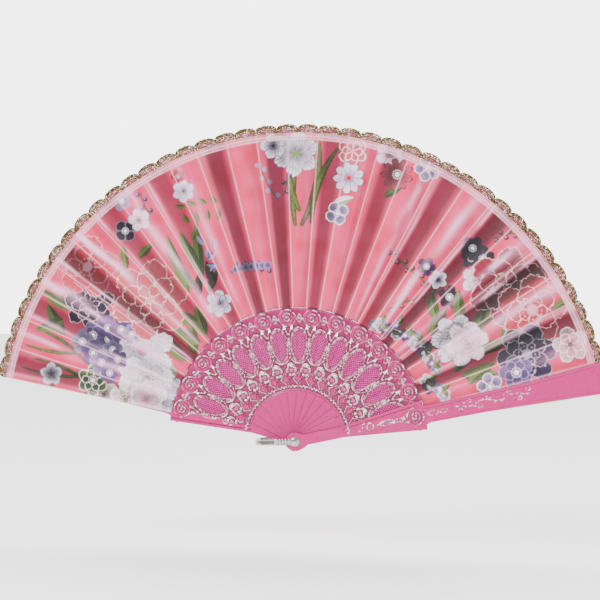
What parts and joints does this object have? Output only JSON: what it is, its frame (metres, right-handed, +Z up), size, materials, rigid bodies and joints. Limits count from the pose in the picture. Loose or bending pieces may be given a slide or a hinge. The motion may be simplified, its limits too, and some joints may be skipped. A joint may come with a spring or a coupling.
{
  "type": "hand fan",
  "caption": "Folding hand fan: pierced plastic sticks on one rivet, a pleated satin leaf with scalloped lace edge, and a metal loop for a tassel.",
  "frame": {"origin": "middle of the rivet, on its axis and halfway through the stack of sticks", "axes": "+Z up in the fan's plane, +X to the right along the opened fan's width, -Y towards the printed front; the rivet's axis is Y"},
  "size_m": [0.4307, 0.0266, 0.226],
  "materials": {
    "pink_plastic": "moulded, glossy, hot pink, with silver foil stamped on the raised ornament",
    "leaf_satin": "satin with a printed flower pattern",
    "gold_lace": "metallic gold glitter lace",
    "bright_metal": "bright nickel plate"
  },
  "bodies": {
    "rear_guard": {"rear_guard": "pink_plastic", "leaf_panel_00": "leaf_satin", "lace_00": "gold_lace", "leaf_pleat_00": "leaf_satin", "rivet": "bright_metal", "rivet_cap": "bright_metal"},
    "stick_01": {"stick_01": "pink_plastic", "leaf_panel_01": "leaf_satin", "lace_01": "gold_lace", "leaf_pleat_01": "leaf_satin"},
    "stick_02": {"stick_02": "pink_plastic", "leaf_panel_02": "leaf_satin", "lace_02": "gold_lace", "leaf_pleat_02": "leaf_satin"},
    "stick_03": {"stick_03": "pink_plastic", "leaf_panel_03": "leaf_satin", "lace_03": "gold_lace", "leaf_pleat_03": "leaf_satin"},
    "stick_04": {"stick_04": "pink_plastic", "leaf_panel_04": "leaf_satin", "lace_04": "gold_lace", "leaf_pleat_04": "leaf_satin"},
    "stick_05": {"stick_05": "pink_plastic", "leaf_panel_05": "leaf_satin", "lace_05": "gold_lace", "leaf_pleat_05": "leaf_satin"},
    "stick_06": {"stick_06": "pink_plastic", "leaf_panel_06": "leaf_satin", "lace_06": "gold_lace", "leaf_pleat_06": "leaf_satin"},
    "stick_07": {"stick_07": "pink_plastic", "leaf_panel_07": "leaf_satin", "lace_07": "gold_lace", "leaf_pleat_07": "leaf_satin"},
    "stick_08": {"stick_08": "pink_plastic", "leaf_panel_08": "leaf_satin", "lace_08": "gold_lace", "leaf_pleat_08": "leaf_satin"},
    "stick_09": {"stick_09": "pink_plastic", "leaf_panel_09": "leaf_satin", "lace_09": "gold_lace", "leaf_pleat_09": "leaf_satin"},
    "stick_10": {"stick_10": "pink_plastic", "leaf_panel_10": "leaf_satin", "lace_10": "gold_lace", "leaf_pleat_10": "leaf_satin"},
    "stick_11": {"stick_11": "pink_plastic", "leaf_panel_11": "leaf_satin", "lace_11": "gold_lace", "leaf_pleat_11": "leaf_satin"},
    "stick_12": {"stick_12": "pink_plastic", "leaf_panel_12": "leaf_satin", "lace_12": "gold_lace", "leaf_pleat_12": "leaf_satin"},
    "front_guard": {"front_guard": "pink_plastic", "leaf_panel_13": "leaf_satin", "lace_13": "gold_lace"},
    "bail": {"bail": "bright_metal"}
  },
  "joints": [
    {"name": "fold_01", "type": "hinge", "parent": "rear_guard", "child": "stick_01", "pos_m": [0, 0, 0], "axis": [0, -1, 0], "range_deg": [0, 11.8], "deforming": ["leaf_pleat_00"]},
    {"name": "fold_02", "type": "hinge", "parent": "stick_01", "child": "stick_02", "pos_m": [0, 0, 0], "axis": [0, -1, 0], "range_deg": [0, 11.8], "deforming": ["leaf_pleat_01"]},
    {"name": "fold_03", "type": "hinge", "parent": "stick_02", "child": "stick_03", "pos_m": [0, 0, 0], "axis": [0, -1, 0], "range_deg": [0, 11.8], "deforming": ["leaf_pleat_02"]},
    {"name": "fold_04", "type": "hinge", "parent": "stick_03", "child": "stick_04", "pos_m": [0, 0, 0], "axis": [0, -1, 0], "range_deg": [0, 11.8], "deforming": ["leaf_pleat_03"]},
    {"name": "fold_05", "type": "hinge", "parent": "stick_04", "child": "stick_05", "pos_m": [0, 0, 0], "axis": [0, -1, 0], "range_deg": [0, 11.8], "deforming": ["leaf_pleat_04"]},
    {"name": "fold_06", "type": "hinge", "parent": "stick_05", "child": "stick_06", "pos_m": [0, 0, 0], "axis": [0, -1, 0], "range_deg": [0, 11.8], "deforming": ["leaf_pleat_05"]},
    {"name": "fold_07", "type": "hinge", "parent": "stick_06", "child": "stick_07", "pos_m": [0, 0, 0], "axis": [0, -1, 0], "range_deg": [0, 11.8], "deforming": ["leaf_pleat_06"]},
    {"name": "fold_08", "type": "hinge", "parent": "stick_07", "child": "stick_08", "pos_m": [0, 0, 0], "axis": [0, -1, 0], "range_deg": [0, 11.8], "deforming": ["leaf_pleat_07"]},
    {"name": "fold_09", "type": "hinge", "parent": "stick_08", "child": "stick_09", "pos_m": [0, 0, 0], "axis": [0, -1, 0], "range_deg": [0, 11.8], "deforming": ["leaf_pleat_08"]},
    {"name": "fold_10", "type": "hinge", "parent": "stick_09", "child": "stick_10", "pos_m": [0, 0, 0], "axis": [0, -1, 0], "range_deg": [0, 11.8], "deforming": ["leaf_pleat_09"]},
    {"name": "fold_11", "type": "hinge", "parent": "stick_10", "child": "stick_11", "pos_m": [0, 0, 0], "axis": [0, -1, 0], "range_deg": [0, 11.8], "deforming": ["leaf_pleat_10"]},
    {"name": "fold_12", "type": "hinge", "parent": "stick_11", "child": "stick_12", "pos_m": [0, 0, 0], "axis": [0, -1, 0], "range_deg": [0, 11.8], "deforming": ["leaf_pleat_11"]},
    {"name": "fold_13", "type": "hinge", "parent": "stick_12", "child": "front_guard", "pos_m": [0, 0, 0], "axis": [0, -1, 0], "range_deg": [0, 11.8], "deforming": ["leaf_pleat_12"]},
    {"name": "bail_swing", "type": "hinge", "parent": "rear_guard", "child": "bail", "pos_m": [0, 0, 0], "axis": [0, -1, 0], "range_deg": [0, 175]}
  ],
  "couplings": [
    {"joint": "fold_02", "follows": "fold_01", "ratio": 1},
    {"joint": "fold_03", "follows": "fold_01", "ratio": 1},
    {"joint": "fold_04", "follows": "fold_01", "ratio": 1},
    {"joint": "fold_05", "follows": "fold_01", "ratio": 1},
    {"joint": "fold_06", "follows": "fold_01", "ratio": 1},
    {"joint": "fold_07", "follows": "fold_01", "ratio": 1},
    {"joint": "fold_08", "follows": "fold_01", "ratio": 1},
    {"joint": "fold_09", "follows": "fold_01", "ratio": 1},
    {"joint": "fold_10", "follows": "fold_01", "ratio": 1},
    {"joint": "fold_11", "follows": "fold_01", "ratio": 1},
    {"joint": "fold_12", "follows": "fold_01", "ratio": 1},
    {"joint": "fold_13", "follows": "fold_01", "ratio": 1}
  ]
}
